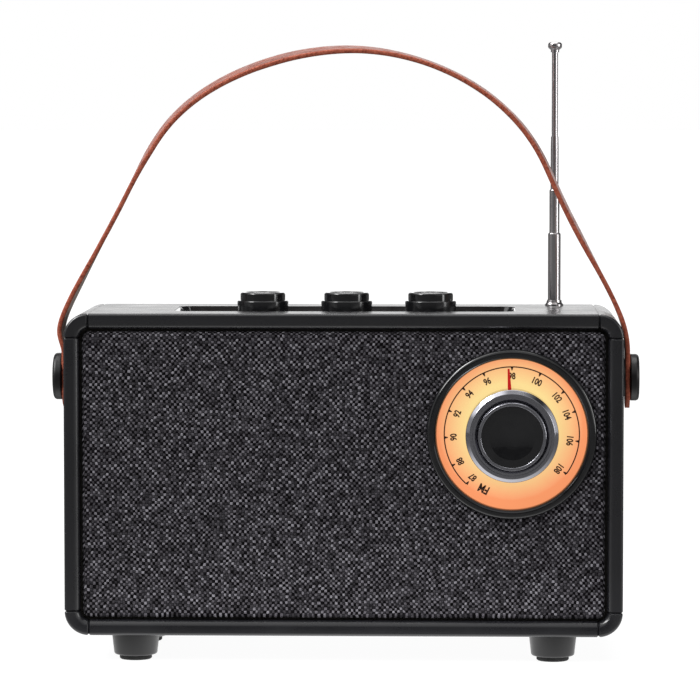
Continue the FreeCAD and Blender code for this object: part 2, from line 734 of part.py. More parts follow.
# Poles of the strap's middle line, (x, z), over the radio from the left tab to the right one.
STRAP_POLES = [
    (-TAB, TAB_TOP),
    (-TAB, TAB_TOP + 3.0),
    (-121.5, 134.0),
    (-116.5, 146.0),
    (-106.0, 166.0),
    (-94.0, 187.5),
    (-79.0, 218.5),
    (-61.5, 234.5),
    (-39.0, 246.0),
    (-8.0, 253.8),
    (24.0, 251.8),
    (57.0, 238.0),
    (79.5, 215.5),
    (88.0, 193.5),
    (103.0, 165.0),
    (115.0, 143.5),
    (TAB, TAB_TOP + 7.0),
    (TAB, TAB_TOP),
]


def strap_side(middle, offset):
    """One face of the strap: a smooth curve a given distance from the middle line."""
    first, last, count = middle.FirstParameter, middle.LastParameter, 5 * len(STRAP_POLES)
    points = []
    for k in range(count + 1):
        t = first + (last - first) * k / count
        along = middle.tangent(t)[0]
        points.append(middle.value(t) + Vector(-along.z, 0, along.x) * offset)
    side = Part.BSplineCurve()
    side.interpolate(points)
    return side.toShape()


def handle_strap():
    """A flat band bent over the radio, with a straight tab at each end that hangs on a stud."""
    front = -STRAP_W / 2
    middle = Part.BSplineCurve()
    middle.buildFromPoles([Vector(x, front, z) for x, z in STRAP_POLES], False, 3)
    edges = [strap_side(middle, STRAP_T / 2), strap_side(middle, -STRAP_T / 2)]
    for side in (-1, 1):
        outer, inner = side * (TAB + STRAP_T / 2), side * (TAB - STRAP_T / 2)
        corners = [(outer, TAB_TOP), (outer, TAB_END), (inner, TAB_END), (inner, TAB_TOP)]
        points = [Vector(x, front, z) for x, z in corners]
        edges += [Part.LineSegment(a, b).toShape() for a, b in zip(points, points[1:])]
    strap = Part.Face(Part.Wire(Part.__sortEdges__(edges))).extrude(Y * STRAP_W)
    tab_corners = edges_where(strap, lambda e: e.CenterOfMass.z < TAB_END + 0.01 and e.BoundBox.YLength < 0.01)
    strap = strap.makeFillet(STRAP_W / 2 - 0.5, tab_corners)
    return strap.cut(rod(STUD_R + RUNNING, Vector(-2 * HALF_W, 0, PIVOT_Z), X, 4 * HALF_W))


def handle_button_right():
    """Round button with a threaded stud that holds the strap to the cabinet's side."""
    inner = HALF_W + SPACER_T + 2 * STRAP_GAP + STRAP_T
    outer, stud_end, dish_r = inner + BUTTON_T, HALF_W - 2 * WALL, 6.4
    body = turned(
        [
            (0, stud_end),
            (STUD_R, stud_end),
            (STUD_R, inner),
            (BUTTON_R, inner),
            (BUTTON_R, outer),
            (dish_r, outer),
            (dish_r - 0.4, outer - 0.4),
            (0, outer - 0.4),
        ],
        Vector(0, 0, PIVOT_Z),
        X,
        Z,
    )
    body = body.makeFillet(0.5, circle_at(body, X, BUTTON_R, inner))
    return body.makeFillet(1.5, circle_at(body, X, BUTTON_R, outer))


def handle_spacers():
    right = ring(SPACER_R, STUD_R, Vector(HALF_W, 0, PIVOT_Z), X, SPACER_T)
    return group([mirrored_in_x(right), right])


def handle_nuts():
    length = 4.0
    right = ring(5.0, STUD_R, Vector(HALF_W - WALL - length, 0, PIVOT_Z), X, length)
    return group([mirrored_in_x(right), right])


# ---------------------------------------------------------------- feet
def foot(x, y):
    """Tapered cup with a rounded lower edge and a seat for the rubber pad."""
    seat = PAD_PROUD + PAD_SET
    body = turned(
        [
            (FOOT_SCREW_R, seat),
            (PAD_R, seat),
            (PAD_R, PAD_PROUD),
            (FOOT_R_LOW, PAD_PROUD),
            (FOOT_R_TOP, FOOT_H),
            (FOOT_SCREW_R, FOOT_H),
        ],
        Vector(x, y, 0),
        Z,
        X,
    )
    return body.makeFillet(0.9, circle_at(body, Z, FOOT_R_LOW, PAD_PROUD))


def foot_places():
    return {
        "front_left": (-FOOT_X, -FOOT_Y),
        "front_right": (FOOT_X, -FOOT_Y),
        "rear_left": (-FOOT_X, FOOT_Y),
        "rear_right": (FOOT_X, FOOT_Y),
    }


def foot_pads():
    pads = []
    for x, y in foot_places().values():
        pad = rod(PAD_R, Vector(x, y, 0), Z, PAD_PROUD + PAD_SET)
        pads.append(pad.makeChamfer(0.4, circle_at(pad, Z, PAD_R, 0)))
    return group(pads)


def foot_screws():
    """Screws from inside each foot up into the bottom panel."""
    start, length = PAD_PROUD + PAD_SET, FOOT_H
    return group([rod(FOOT_SCREW_R, Vector(x, y, start), Z, length) for x, y in foot_places().values()])


# ---------------------------------------------------------------- speakers, board and battery
def speaker_turned(x, outline):
    return turned(outline, Vector(x, 0, SPEAKER_Z), Y, Z)


def speaker_frame(x):
    """Flange, raised ring round the cone, and tapered basket."""
    seat, wall, depth = BAFFLE_BACK, 1.5, 15.0
    rim, outer = CONE_R + 0.5, SPEAKER_HOLE - 0.3
    return speaker_turned(
        x,
        [
            (rim, seat - 0.5),
            (outer, seat - 0.5),
            (outer, seat),
            (SPEAKER_R, seat),
            (SPEAKER_R, seat + wall),
            (outer, seat + wall),
            (MAGNET_R, seat + depth),
            (10.5, seat + depth),
            (10.5, seat + depth - wall),
            (MAGNET_R - 1, seat + depth - wall),
            (rim, seat + wall + 1),
        ],
    )


def speaker_cone(x):
    """Paper cone with its dust cap and voice coil former."""
    rim, neck = BAFFLE_BACK + 0.4, BAFFLE_BACK + 10.0
    return speaker_turned(
        x,
        [
            (0, rim + 4.5),
            (4.0, rim + 4.9),
            (8.0, rim + 6.8),
            (CONE_R - 0.6, rim),
            (CONE_R, rim),
            (CONE_R, rim + CONE_T),
            (8.6, neck),
            (8.6, neck + 3.0),
            (8.0, neck + 3.0),
            (8.0, rim + 8.0),
            (4.0, rim + 5.6),
            (0, rim + 5.2),
        ],
    )


def speaker_magnets():
    start = BAFFLE_BACK + 15.0
    return group([rod(MAGNET_R, Vector(x, start, SPEAKER_Z), Y, MAGNET_T) for x in SPEAKER_X])


def main_board():
    """Circuit board behind the sockets, with its taller components."""
    back = BOARD_Y + BOARD_T
    board = box(-100, -30, BOARD_Y, back, 20, 62)
    capacitors = [rod(4.0, Vector(x, back, z), Y, 9.0) for x, z in ((-88, 54), (-78, 54), (-42, 30))]
    chips = [box(x, x + 9, back, back + BOARD_T, z, z + 9) for x, z in ((-66, 48), (-50, 48))]
    usb_block = box(USB_X - 4.4, USB_X + 4.4, back, COVER_BACK - IO_DEPTH - USB_LEN, IO_Z - 1.6, IO_Z + 1.6)
    aux_front = COVER_BACK - IO_DEPTH + 0.8 - AUX_LEN - 1
    aux_block = box(AUX_X - 3.9, AUX_X + 3.9, back, aux_front, IO_Z - 3.4, IO_Z + 3.4)
    return board.fuse(capacitors + chips + [usb_block, aux_block]).removeSplitter()


def battery_pack():
    """Two round cells side by side in a shallow cradle on the cabinet's floor."""
    floor, radius, half_len, x, wall = BOTTOM + WALL, 9.1, 32.6, 62.0, 1.5
    rows = (-1.0, 17.6)
    cells = [rod(radius, Vector(x - half_len, y, floor + wall + radius), X, 2 * half_len) for y in rows]
    reach_x, reach_y = half_len + 2 * wall, radius + wall
    cradle = box(x - reach_x, x + reach_x, rows[0] - reach_y, rows[1] + reach_y, floor, floor + 8)
    for cell in cells:
        cradle = cradle.cut(cell)
    return group(cells + [cradle])


# ---------------------------------------------------------------- write one file per sub-part
def save(name, shape):
    shape.translate(Y * SETBACK)
    for solid in shape.Solids:
        assert solid.isValid() and solid.Volume > 0, name
    shape.exportStep(os.path.join("parts", name + ".step"))


def all_parts():
    parts = {
        "top_panel": top_panel(),
        "bottom_panel": bottom_panel(),
        "right_side_panel": right_side_panel(),
        "corner_top_left": corner(-1, True),
        "corner_top_right": corner(1, True),
        "corner_bottom_left": corner(-1, False),
        "corner_bottom_right": corner(1, False),
        "baffle_board": baffle_board(),
        "grille_frame": grille_frame(),
        "grille_cloth": grille_cloth(),
        "rear_cover": rear_cover(),
        "rear_cover_screws": rear_cover_screws(),
        "usb_socket": usb_socket(),
        "aux_jack": aux_jack(),
        "control_tray": control_tray(),
        "pot_nuts": pot_nuts(),
        "control_board": control_board(),
        "dial_bezel": dial_bezel(),
        "dial_face": dial_face(),
        "dial_backlight": dial_backlight(),
        "dial_housing": dial_housing(),
        "tuning_pot": tuning_pot(),
        "tuning_shaft": tuning_shaft(),
        "tuning_knob": tuning_knob(),
        "tuning_knob_cap": tuning_knob_cap(),
        "dial_pointer": dial_pointer(),
        "antenna_tube": antenna_tube(),
        "antenna_ferrule": antenna_ferrule(),
        "antenna_section_1": antenna_section(0, 1.5, 0.5),
        "antenna_section_2": antenna_section(1, 1.5, 0.5),
        "antenna_section_3": antenna_section(2, 6.0, 5.0),
        "antenna_rod": antenna_rod(),
        "handle_strap": handle_strap(),
        "handle_button_right": handle_button_right(),
        "handle_spacers": handle_spacers(),
        "handle_nuts": handle_nuts(),
        "foot_pads": foot_pads(),
        "foot_screws": foot_screws(),
        "speaker_magnets": speaker_magnets(),
        "main_board": main_board(),
        "battery_pack": battery_pack(),
    }
    parts["left_side_panel"] = mirrored_in_x(parts["right_side_panel"])
    parts["handle_button_left"] = mirrored_in_x(parts["handle_button_right"])
    for i, name in enumerate(KNOB_NAMES):
        parts[name + "_knob"] = knob(i)
        parts[name + "_shaft"] = knob_shaft(i)
        parts[name + "_pot"] = potentiometer(i)
    for side, x in zip(("left", "right"), SPEAKER_X):
        parts[f"speaker_{side}_frame"] = speaker_frame(x)
        parts[f"speaker_{side}_cone"] = speaker_cone(x)
    for place, (x, y) in foot_places().items():
        parts["foot_" + place] = foot(x, y)
    return parts


def main():
    os.makedirs("parts", exist_ok=True)
    parts = all_parts()
    for name, shape in parts.items():
        save(name, shape)
    print(len(parts), "parts")


main()
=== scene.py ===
import bpy
import bmesh
import json
import math
from mathutils import Matrix, Vector, noise


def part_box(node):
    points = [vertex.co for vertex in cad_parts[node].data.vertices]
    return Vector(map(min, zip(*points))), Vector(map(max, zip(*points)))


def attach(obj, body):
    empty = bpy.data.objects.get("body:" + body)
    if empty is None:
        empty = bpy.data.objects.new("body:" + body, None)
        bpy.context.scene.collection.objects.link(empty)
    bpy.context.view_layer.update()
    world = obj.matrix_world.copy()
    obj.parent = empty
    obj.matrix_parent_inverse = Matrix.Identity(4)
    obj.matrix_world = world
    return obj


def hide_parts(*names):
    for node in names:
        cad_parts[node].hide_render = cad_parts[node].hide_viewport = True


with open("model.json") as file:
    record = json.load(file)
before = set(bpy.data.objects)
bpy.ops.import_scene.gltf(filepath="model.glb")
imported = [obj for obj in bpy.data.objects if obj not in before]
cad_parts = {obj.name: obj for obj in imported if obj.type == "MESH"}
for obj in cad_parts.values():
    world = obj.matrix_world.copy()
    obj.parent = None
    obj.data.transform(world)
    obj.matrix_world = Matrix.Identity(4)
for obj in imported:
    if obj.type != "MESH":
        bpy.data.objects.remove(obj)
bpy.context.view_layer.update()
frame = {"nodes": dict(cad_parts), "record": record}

MM = 0.001


# ---------------------------------------------------------------- places read from the frame
def corners(node):
    low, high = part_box(node)
    return Vector(low), Vector(high)


CLOTH_LOW, CLOTH_HIGH = corners("grille_cloth")
RING_LOW, RING_HIGH = corners("dial_bezel")
FACE_LOW, FACE_HIGH = corners("dial_face")
STRAP_LOW, STRAP_HIGH = corners("handle_strap")
DIAL_CENTRE = (FACE_LOW + FACE_HIGH) / 2
DIAL_FACE_R = (FACE_HIGH.x - FACE_LOW.x) / 2
DIAL_RING_R = (RING_HIGH.x - RING_LOW.x) / 2


def new_object(name, data):
    """Puts an object with this data in the scene."""
    thing = bpy.data.objects.new(name, data)
    bpy.context.collection.objects.link(thing)
    return thing


# ---------------------------------------------------------------- camera and lights
LENS = 193.6  # focal length in millimetres
SENSOR = 36.0
CAMERA_PLACE = Vector((47.7, -1570.8, 229.8)) * MM
CAMERA_YAW = math.radians(-1.67)
CAMERA_PITCH = math.radians(-3.74)

# Each soft box: its place, its width and height, and its power in watts.
LIGHTS = {
    "key_softbox": ((-1.15, -0.85, 1.05), (0.45, 0.6), 9),
    "right_softbox": ((1.5, -0.55, 0.35), (0.3, 0.9), 4),
    "overhead": ((0.1, 0.3, 1.6), (1.2, 0.9), 11),
}
LIT_POINT = Vector((0, 0, 0.08))


def direction(yaw, pitch):
    return Vector((math.sin(yaw) * math.cos(pitch), math.cos(yaw) * math.cos(pitch), math.sin(pitch)))


def facing(way):
    """Rotation of a camera or a light that looks this way."""
    return way.to_track_quat("-Z", "Y").to_euler()


def make_camera():
    """Looks at the front from a little above and to the right."""
    data = bpy.data.cameras.new("camera")
    data.lens = LENS
    data.sensor_width = SENSOR
    camera = new_object("camera", data)
    camera.location = CAMERA_PLACE
    camera.rotation_euler = facing(direction(CAMERA_YAW, CAMERA_PITCH))
    bpy.context.scene.camera = camera


def make_lights():
    for name, (place, size, power) in LIGHTS.items():
        data = bpy.data.lights.new(name, "AREA")
        data.shape = "RECTANGLE"
        data.size, data.size_y = size
        data.energy = power
        light = new_object(name, data)
        light.location = place
        light.rotation_euler = facing(LIT_POINT - Vector(place))


# ---------------------------------------------------------------- room and floor
ROOM = 0.06  # light of the dim room that the radio mirrors

# Bright cards in that room: where each stands, the angles in degrees from its middle at which it starts to
# fade and ends, and its light.
CARDS = (
    ((0.0, 1.0, 0.06), 18, 30, 1.40),
    ((1.0, -0.55, 0.05), 20, 42, 0.95),
    ((-1.0, -0.25, 0.10), 14, 34, 0.42),
    ((0.0, -0.55, 0.80), 20, 40, 0.70),
    ((-0.60, -0.15, 0.78), 22, 32, 1.80),
    ((-0.60, -0.15, 0.78), 4, 11, 20.00),
)

FLOOR_HALF = 30.0  # in metres, far past the edges of the view

# Pool of light on the floor that the radio mirrors: its reach in millimetres, its edge and its light.
POOL_X, POOL_Y = 150, 60
POOL_EDGE = 4.0
POOL_LIGHT = 2.0

# For the camera the floor is white, with a faint shade near the radio. It fades between these distances in
# millimetres.
SHADE_START, SHADE_END = 250.0, 800.0
SHADE_LIGHT = 0.95


def make_world():
    """White for the camera. For the radio, a dim room with a few bright cards round it."""
    world = bpy.data.worlds.new("studio")
    bpy.context.scene.world = world
    world.use_nodes = True
    tree = world.node_tree
    tree.nodes.clear()
    build = Nodes(tree)
    sight = build.add("ShaderNodeTexCoord").outputs["Generated"]
    light = ROOM
    for place, full, end, strength in CARDS:
        nearness = build.vector("DOT_PRODUCT", sight, tuple(Vector(place).normalized()))
        edges = math.cos(math.radians(end)), math.cos(math.radians(full))
        light = build.maths("ADD", light, build.map_range(nearness, *edges, 0.0, strength))
    colour = build.mix_colour(build.sees_camera(), light, (1, 1, 1, 1))
    background = build.add("ShaderNodeBackground", Color=colour)
    output = build.add("ShaderNodeOutputWorld")
    tree.links.new(background.outputs[0], output.inputs["Surface"])


def make_floor():
    """White table for the camera. The radio mirrors only a pool of light under it, so its front is dark."""
    mesh = bpy.data.meshes.new("floor")
    turns = ((-1, -1), (1, -1), (1, 1), (-1, 1))
    mesh.from_pydata([(x * FLOOR_HALF, y * FLOOR_HALF, 0) for x, y in turns], [], [(0, 1, 2, 3)])
    floor = new_object("floor", mesh)
    paint = Shader("floor_white", base=(0.12, 0.12, 0.12), roughness=0.9, specular=0.0)
    spread = paint.vector("LENGTH", paint.vector("MULTIPLY", paint.mm, (1 / POOL_X, 1 / POOL_Y, 0)))
    falloff = paint.maths("ADD", 1.0, paint.maths("POWER", spread, POOL_EDGE))
    pool = paint.maths("ADD", ROOM, paint.maths("DIVIDE", POOL_LIGHT, falloff))
    seen = paint.map_range(paint.vector("LENGTH", paint.mm), SHADE_START, SHADE_END, SHADE_LIGHT, 1.0)
    paint.set("Emission Color", (1, 1, 1, 1))
    paint.set("Emission Strength", paint.map_range(paint.sees_camera(), 0.0, 1.0, pool, seen))
    floor.data.materials.append(paint.material)


# ---------------------------------------------------------------- shader building blocks
class Nodes:
    """Adds shader nodes to a tree. An input takes a number, a tuple or another node's output."""

    def __init__(self, tree):
        self.tree = tree

    def plug(self, socket, value):
        if isinstance(value, bpy.types.NodeSocket):
            self.tree.links.new(value, socket)
        else:
            socket.default_value = value

    def add(self, kind, **inputs):
        node = self.tree.nodes.new(kind)
        for name, value in inputs.items():
            self.plug(node.inputs[name.replace("_", " ")], value)
        return node

    def maths(self, operation, a, b=0.0):
        node = self.tree.nodes.new("ShaderNodeMath")
        node.operation = operation
        self.plug(node.inputs[0], a)
        self.plug(node.inputs[1], b)
        return node.outputs[0]

    def vector(self, operation, a, b=(0, 0, 0)):
        node = self.tree.nodes.new("ShaderNodeVectorMath")
        node.operation = operation
        self.plug(node.inputs[0], a)
        self.plug(node.inputs[1], b)
        return node.outputs["Value"] if operation in ("LENGTH", "DOT_PRODUCT") else node.outputs[0]

    def separate(self, value):
        return self.add("ShaderNodeSeparateXYZ", Vector=value).outputs

    def combine(self, x, y, z):
        return self.add("ShaderNodeCombineXYZ", X=x, Y=y, Z=z).outputs[0]

    def map_range(self, value, low, high, to_low, to_high):
        node = self.tree.nodes.new("ShaderNodeMapRange")
        for socket, number in zip(node.inputs, (value, low, high, to_low, to_high)):
            self.plug(socket, number)
        return node.outputs[0]

    def mix_colour(self, factor, a, b, blend="MIX"):
        """The node has sockets for each kind of value. Inputs 6 and 7 and output 2 are the colours."""
        node = self.tree.nodes.new("ShaderNodeMix")
        node.data_type = "RGBA"
        node.blend_type = blend
        self.plug(node.inputs[0], factor)
        self.plug(node.inputs[6], a)
        self.plug(node.inputs[7], b)
        return node.outputs[2]

    def ramp(self, factor, stops):
        node = self.add("ShaderNodeValToRGB", Fac=factor)
        points = node.color_ramp.elements
        while len(points) < len(stops):
            points.new(0.5)
        for point, (place, colour) in zip(points, stops):
            point.position = place
            point.color = (*colour, 1)
        return node.outputs[0]

    def sees_camera(self):
        """1 for what the camera sees itself, 0 for what is mirrored or lit."""
        return self.add("ShaderNodeLightPath").outputs["Is Camera Ray"]


class Shader(Nodes):
    """A Principled material that is put together step by step. Lengths are in millimetres."""

    def __init__(self, name, base=(0.5, 0.5, 0.5), roughness=0.5, metallic=0.0, specular=0.5):
        self.material = bpy.data.materials.new(name)
        self.material.use_nodes = True
        super().__init__(self.material.node_tree)
        self.tree.nodes.clear()
        self.surface = self.add("ShaderNodeBsdfPrincipled")
        output = self.add("ShaderNodeOutputMaterial")
        self.tree.links.new(self.surface.outputs[0], output.inputs["Surface"])
        self.set("Base Color", (*base, 1))
        self.set("Roughness", roughness)
        self.set("Metallic", metallic)
        self.set("Specular IOR Level", specular)
        place = self.add("ShaderNodeTexCoord").outputs["Object"]
        self.mm = self.vector("MULTIPLY", place, (1000, 1000, 1000))

    def set(self, name, value):
        self.plug(self.surface.inputs[name], value)

    def noise(self, size, detail, roughness=0.55):
        """Noise with features of about this size in millimetres."""
        scaled = self.vector("MULTIPLY", self.mm, (1 / size, 1 / size, 1 / size))
        node = self.add("ShaderNodeTexNoise", Vector=scaled, Scale=1.0, Detail=detail, Roughness=roughness)
        return node.outputs["Fac"]

    def cells(self, size, randomness=1.0):
        """Distance to the nearest of scattered points that stand about this far apart in millimetres."""
        scaled = self.vector("MULTIPLY", self.mm, (1 / size, 1 / size, 1 / size))
        node = self.add("ShaderNodeTexVoronoi", Vector=scaled, Scale=1.0, Randomness=randomness)
        return node.outputs["Distance"]

    def bump(self, height, depth, strength):
        """Adds to the relief so far. height is 0 to 1 and depth is its full relief in millimetres."""
        node = self.add("ShaderNodeBump", Height=height, Strength=strength, Distance=depth * MM)
        previous = self.surface.inputs["Normal"]
        if previous.is_linked:
            self.plug(node.inputs["Normal"], previous.links[0].from_socket)
        self.set("Normal", node.outputs[0])


# ---------------------------------------------------------------- materials
def satin_black(name, tone, roughness, grain, relief, specular=0.5):
    """Dark moulded surface: a fine grain, faint colour drift and slightly uneven gloss."""
    paint = Shader(name, specular=specular)
    drift = paint.noise(45, 2)
    dark, light = [tuple(c * k for c in tone) for k in (0.85, 1.15)]
    paint.set("Base Color", paint.ramp(drift, [(0.3, dark), (0.7, light)]))
    smudge = paint.noise(18, 4)
    paint.set("Roughness", paint.map_range(smudge, 0.3, 0.7, roughness - 0.04, roughness + 0.05))
    paint.bump(paint.noise(grain, 2), relief, 0.45)
    return paint.material


def gloss_black():
    """Black lacquer with a faint haze."""
    paint = Shader("gloss_black")
    haze = paint.noise(7, 5)
    paint.set("Base Color", paint.ramp(haze, [(0.3, (0.006, 0.006, 0.007)), (0.8, (0.012, 0.012, 0.013))]))
    paint.set("Roughness", paint.map_range(haze, 0.3, 0.75, 0.08, 0.16))
    paint.bump(paint.noise(3.0, 2), 0.01, 0.3)
    paint.set("Coat Weight", 0.4)
    paint.set("Coat Roughness", 0.04)
    return paint.material


def polished_metal(name, tone, low, high):
    """Bright metal with faint handling marks in its gloss."""
    metal = Shader(name, metallic=1.0)
    marks = metal.noise(12, 2)
    metal.set("Base Color", metal.ramp(marks, [(0.3, tuple(c * 0.94 for c in tone)), (0.7, tone)]))
    metal.set("Roughness", metal.map_range(marks, 0.35, 0.75, low, high))
    metal.bump(metal.noise(14, 1), 0.010, 0.2)
    return metal.material


RINGS_PER_MM = 9.0


def turned_metal():
    """Dark chrome that was turned about the dial's axis: fine rings in the relief and the gloss."""
    metal = Shader("turned_metal", metallic=1.0)
    offset = metal.vector("SUBTRACT", metal.mm, tuple(DIAL_CENTRE / MM))
    x, _, z = metal.separate(offset)[:3]
    radius = metal.vector("LENGTH", metal.combine(x, 0.0, z))
    outward = metal.combine(metal.maths("MULTIPLY", radius, RINGS_PER_MM), 0.0, 0.0)
    rings = metal.add("ShaderNodeTexNoise", Vector=outward, Scale=1.0).outputs["Fac"]
    metal.set("Base Color", metal.ramp(rings, [(0.3, (0.30, 0.30, 0.33)), (0.7, (0.40, 0.40, 0.43))]))
    metal.set("Roughness", metal.map_range(rings, 0.3, 0.7, 0.09, 0.17))
    metal.bump(rings, 0.006, 0.4)
    return metal.material


# Colours of the lit dial at shares of its radius.
DIAL_GLOW = (
    (0.63, (0.93, 0.70, 0.29)),
    (0.80, (0.93, 0.54, 0.235)),
    (0.97, (0.95, 0.37, 0.165)),
    (1.0, (0.93, 0.32, 0.135)),
)
GLOW_OFFSET = Vector((-0.5, 0, 2.6))  # from the middle of the face to the middle of the glow, in millimetres


def dial_orange():
    """Face lit from behind: pale yellow round the knob and deeper orange towards the rim."""
    face = Shader("dial_orange", roughness=0.45, specular=0.3)
    glow = DIAL_CENTRE / MM + GLOW_OFFSET
    offset = face.vector("SUBTRACT", face.mm, tuple(glow))
    reach = face.maths("DIVIDE", face.vector("LENGTH", offset), DIAL_FACE_R / MM)
    soft = face.maths("ADD", reach, face.maths("MULTIPLY", face.noise(9, 3), 0.06))
    colour = face.ramp(soft, DIAL_GLOW)
    face.set("Base Color", face.mix_colour(1.0, colour, (0.2, 0.2, 0.2, 1), "MULTIPLY"))
    face.set("Emission Color", colour)
    face.set("Emission Strength", 0.93)
    face.bump(face.noise(0.6, 2), 0.01, 0.4)
    return face.material


def printed_ink():
    """Dark brown ink of slightly uneven density."""
    ink = Shader("printed_ink", roughness=0.55)
    density = ink.noise(0.5, 3)
    ink.set("Base Color", ink.ramp(density, [(0.3, (0.035, 0.010, 0.004)), (0.7, (0.06, 0.016, 0.006))]))
    return ink.material


def pointer_red():
    """Red plastic that glows a little in the dial's light."""
    paint = Shader("pointer_red", roughness=0.3)
    drift = paint.noise(1.5, 2)
    paint.set("Base Color", paint.ramp(drift, [(0.3, (0.5, 0.008, 0.006)), (0.7, (0.62, 0.014, 0.010))]))
    paint.set("Emission Color", (0.6, 0.01, 0.01, 1))
    paint.set("Emission Strength", 0.25)
    return paint.material


# ---------------------------------------------------------------- woven cloth's material
WARP_PITCH, WEFT_PITCH = 1.12, 1.16  # distance between yarns in millimetres
WANDER = 3.0  # how far the yarns stray from straight, in millimetres

WARP_COLOURS = (
    (0.25, (0.012, 0.011, 0.012)),
    (0.60, (0.078, 0.073, 0.082)),
    (0.85, (0.17, 0.16, 0.18)),
    (1.0, (0.30, 0.29, 0.32)),
)
WEFT_COLOURS = (
    (0.3, (0.001, 0.001, 0.001)),
    (0.7, (0.008, 0.007, 0.009)),
    (1.0, (0.05, 0.048, 0.055)),
)


def yarn_counts(cloth):
    """How many yarns across and up a point is. Up goes on along y, where the cloth turns over its edge."""
    x, y, z = cloth.separate(cloth.mm)[:3]
    drift_x = cloth.maths("MULTIPLY", cloth.noise(11, 2), WANDER)
    drift_z = cloth.maths("MULTIPLY", cloth.noise(13, 2), WANDER)
    across = cloth.maths("DIVIDE", cloth.maths("ADD", x, drift_x), WARP_PITCH)
    up = cloth.maths("DIVIDE", cloth.maths("ADD", cloth.maths("ADD", z, y), drift_z), WEFT_PITCH)
    return across, up


def yarn_relief(cloth, across, up, warp_on_top):
    """Height of the yarn that lies on top at each crossing."""
    across_part, up_part = cloth.maths("FRACT", across), cloth.maths("FRACT", up)

    def ridge(part, power):
        centred = cloth.maths("ABSOLUTE", cloth.maths("SUBTRACT", part, 0.5))
        fall = cloth.maths("POWER", cloth.maths("MULTIPLY", centred, 2.0), power)
        return cloth.maths("SUBTRACT", 1.0, fall)

    warp = cloth.maths("MULTIPLY", ridge(across_part, 4.0), ridge(up_part, 6.0))
    weft = cloth.maths("MULTIPLY", ridge(up_part, 2.0), ridge(across_part, 4.0))
    return cloth.map_range(warp_on_top, 0.0, 1.0, weft, warp)


def yarn_colour(cloth, cell, warp_on_top):
    """Mottled tone of the yarn on top, which changes from crossing to crossing and along the yarn."""
    chance = cloth.add("ShaderNodeTexWhiteNoise", Vector=cell).outputs["Value"]
    mottle = cloth.maths("MULTIPLY", cloth.noise(1.7, 3, roughness=0.7), 0.9)
    level = cloth.maths("ADD", cloth.maths("MULTIPLY", chance, 0.55), mottle)
    return cloth.mix_colour(warp_on_top, cloth.ramp(level, WEFT_COLOURS), cloth.ramp(level, WARP_COLOURS))


def woven_cloth():
    """Plain weave of light mottled warp over dark weft, whose light crossings make a chequered pattern."""
    cloth = Shader("woven_cloth", roughness=0.9, specular=0.03)
    across, up = yarn_counts(cloth)
    column, row = cloth.maths("FLOOR", across), cloth.maths("FLOOR", up)
    warp_on_top = cloth.maths("FLOORED_MODULO", cloth.maths("ADD", column, row), 2.0)
    relief = yarn_relief(cloth, across, up, warp_on_top)
    yarn = yarn_colour(cloth, cloth.combine(column, row, 0.0), warp_on_top)
    # Painted shade: each yarn is darkened towards its edges, where it dips under the crossing yarns.
    shade = cloth.map_range(relief, 0.0, 0.7, 0.25, 1.0)
    cloth.set("Base Color", cloth.mix_colour(1.0, yarn, shade, "MULTIPLY"))
    cloth.bump(relief, 0.22, 0.9)
    cloth.bump(cloth.noise(0.15, 2), 0.03, 0.5)
    cloth.set("Sheen Weight", 0.015)
    cloth.set("Sheen Roughness", 0.5)
    return cloth.material


# ---------------------------------------------------------------- leather's materials
SKIN_COLOURS = ((0.25, (0.26, 0.058, 0.030)), (0.55, (0.40, 0.095, 0.050)), (0.8, (0.52, 0.15, 0.085)))
EDGE_COLOURS = ((0.30, (0.13, 0.022, 0.012)), (0.46, (0.36, 0.080, 0.042)), (0.7, (0.54, 0.15, 0.085)))


def strap_leather():
    """Outer face of the strap: reddish-brown leather with a pebbled grain, patches and soft creases."""
    hide = Shader("strap_leather", specular=0.4)
    grain = hide.cells(0.55)
    skin = hide.ramp(hide.noise(9, 4), SKIN_COLOURS)
    # Painted shade: the colour darkens towards the hollows between the pebbles of the grain.
    grain_hollow_shade = hide.map_range(grain, 0.0, 0.55, 1.0, 0.62)
    hide.set("Base Color", hide.mix_colour(1.0, skin, grain_hollow_shade, "MULTIPLY"))
    hide.set("Roughness", hide.map_range(hide.noise(4, 4), 0.3, 0.7, 0.33, 0.5))
    hide.bump(hide.maths("SUBTRACT", 1.0, grain), 0.05, 0.8)
    hide.bump(hide.noise(2.2, 3), 0.08, 0.5)
    return hide.material


def strap_back():
    """Flesh side of the leather: matt, paler and fibrous."""
    hide = Shader("strap_back", roughness=0.85, specular=0.3)
    fibres = hide.noise(0.5, 5, roughness=0.7)
    hide.set("Base Color", hide.ramp(fibres, [(0.3, (0.38, 0.30, 0.26)), (0.7, (0.62, 0.52, 0.46))]))
    hide.bump(fibres, 0.1, 0.8)
    return hide.material


def strap_edge():
    """Cut edge of the leather, burnished, with darker layers."""
    hide = Shader("strap_edge", roughness=0.6, specular=0.3)
    layers = hide.noise(1.1, 4, roughness=0.7)
    hide.set("Base Color", hide.ramp(layers, EDGE_COLOURS))
    hide.bump(layers, 0.06, 0.6)
    return hide.material


# ---------------------------------------------------------------- small and inner parts' materials
def rubber():
    """Matt black rubber with a little dust."""
    skin = Shader("rubber", roughness=0.8, specular=0.3)
    dust = skin.noise(2.5, 4)
    skin.set("Base Color", skin.ramp(dust, [(0.3, (0.008, 0.008, 0.008)), (0.8, (0.02, 0.02, 0.02))]))
    skin.bump(skin.noise(0.3, 3), 0.03, 0.6)
    return skin.material


def painted_board():
    """Green circuit board."""
    board = Shader("circuit_board", roughness=0.4)
    tracks = board.cells(3.0, 0.3)
    board.set("Base Color", board.ramp(tracks, [(0.35, (0.010, 0.07, 0.03)), (0.45, (0.02, 0.13, 0.06))]))
    board.bump(tracks, 0.03, 0.5)
    return board.material


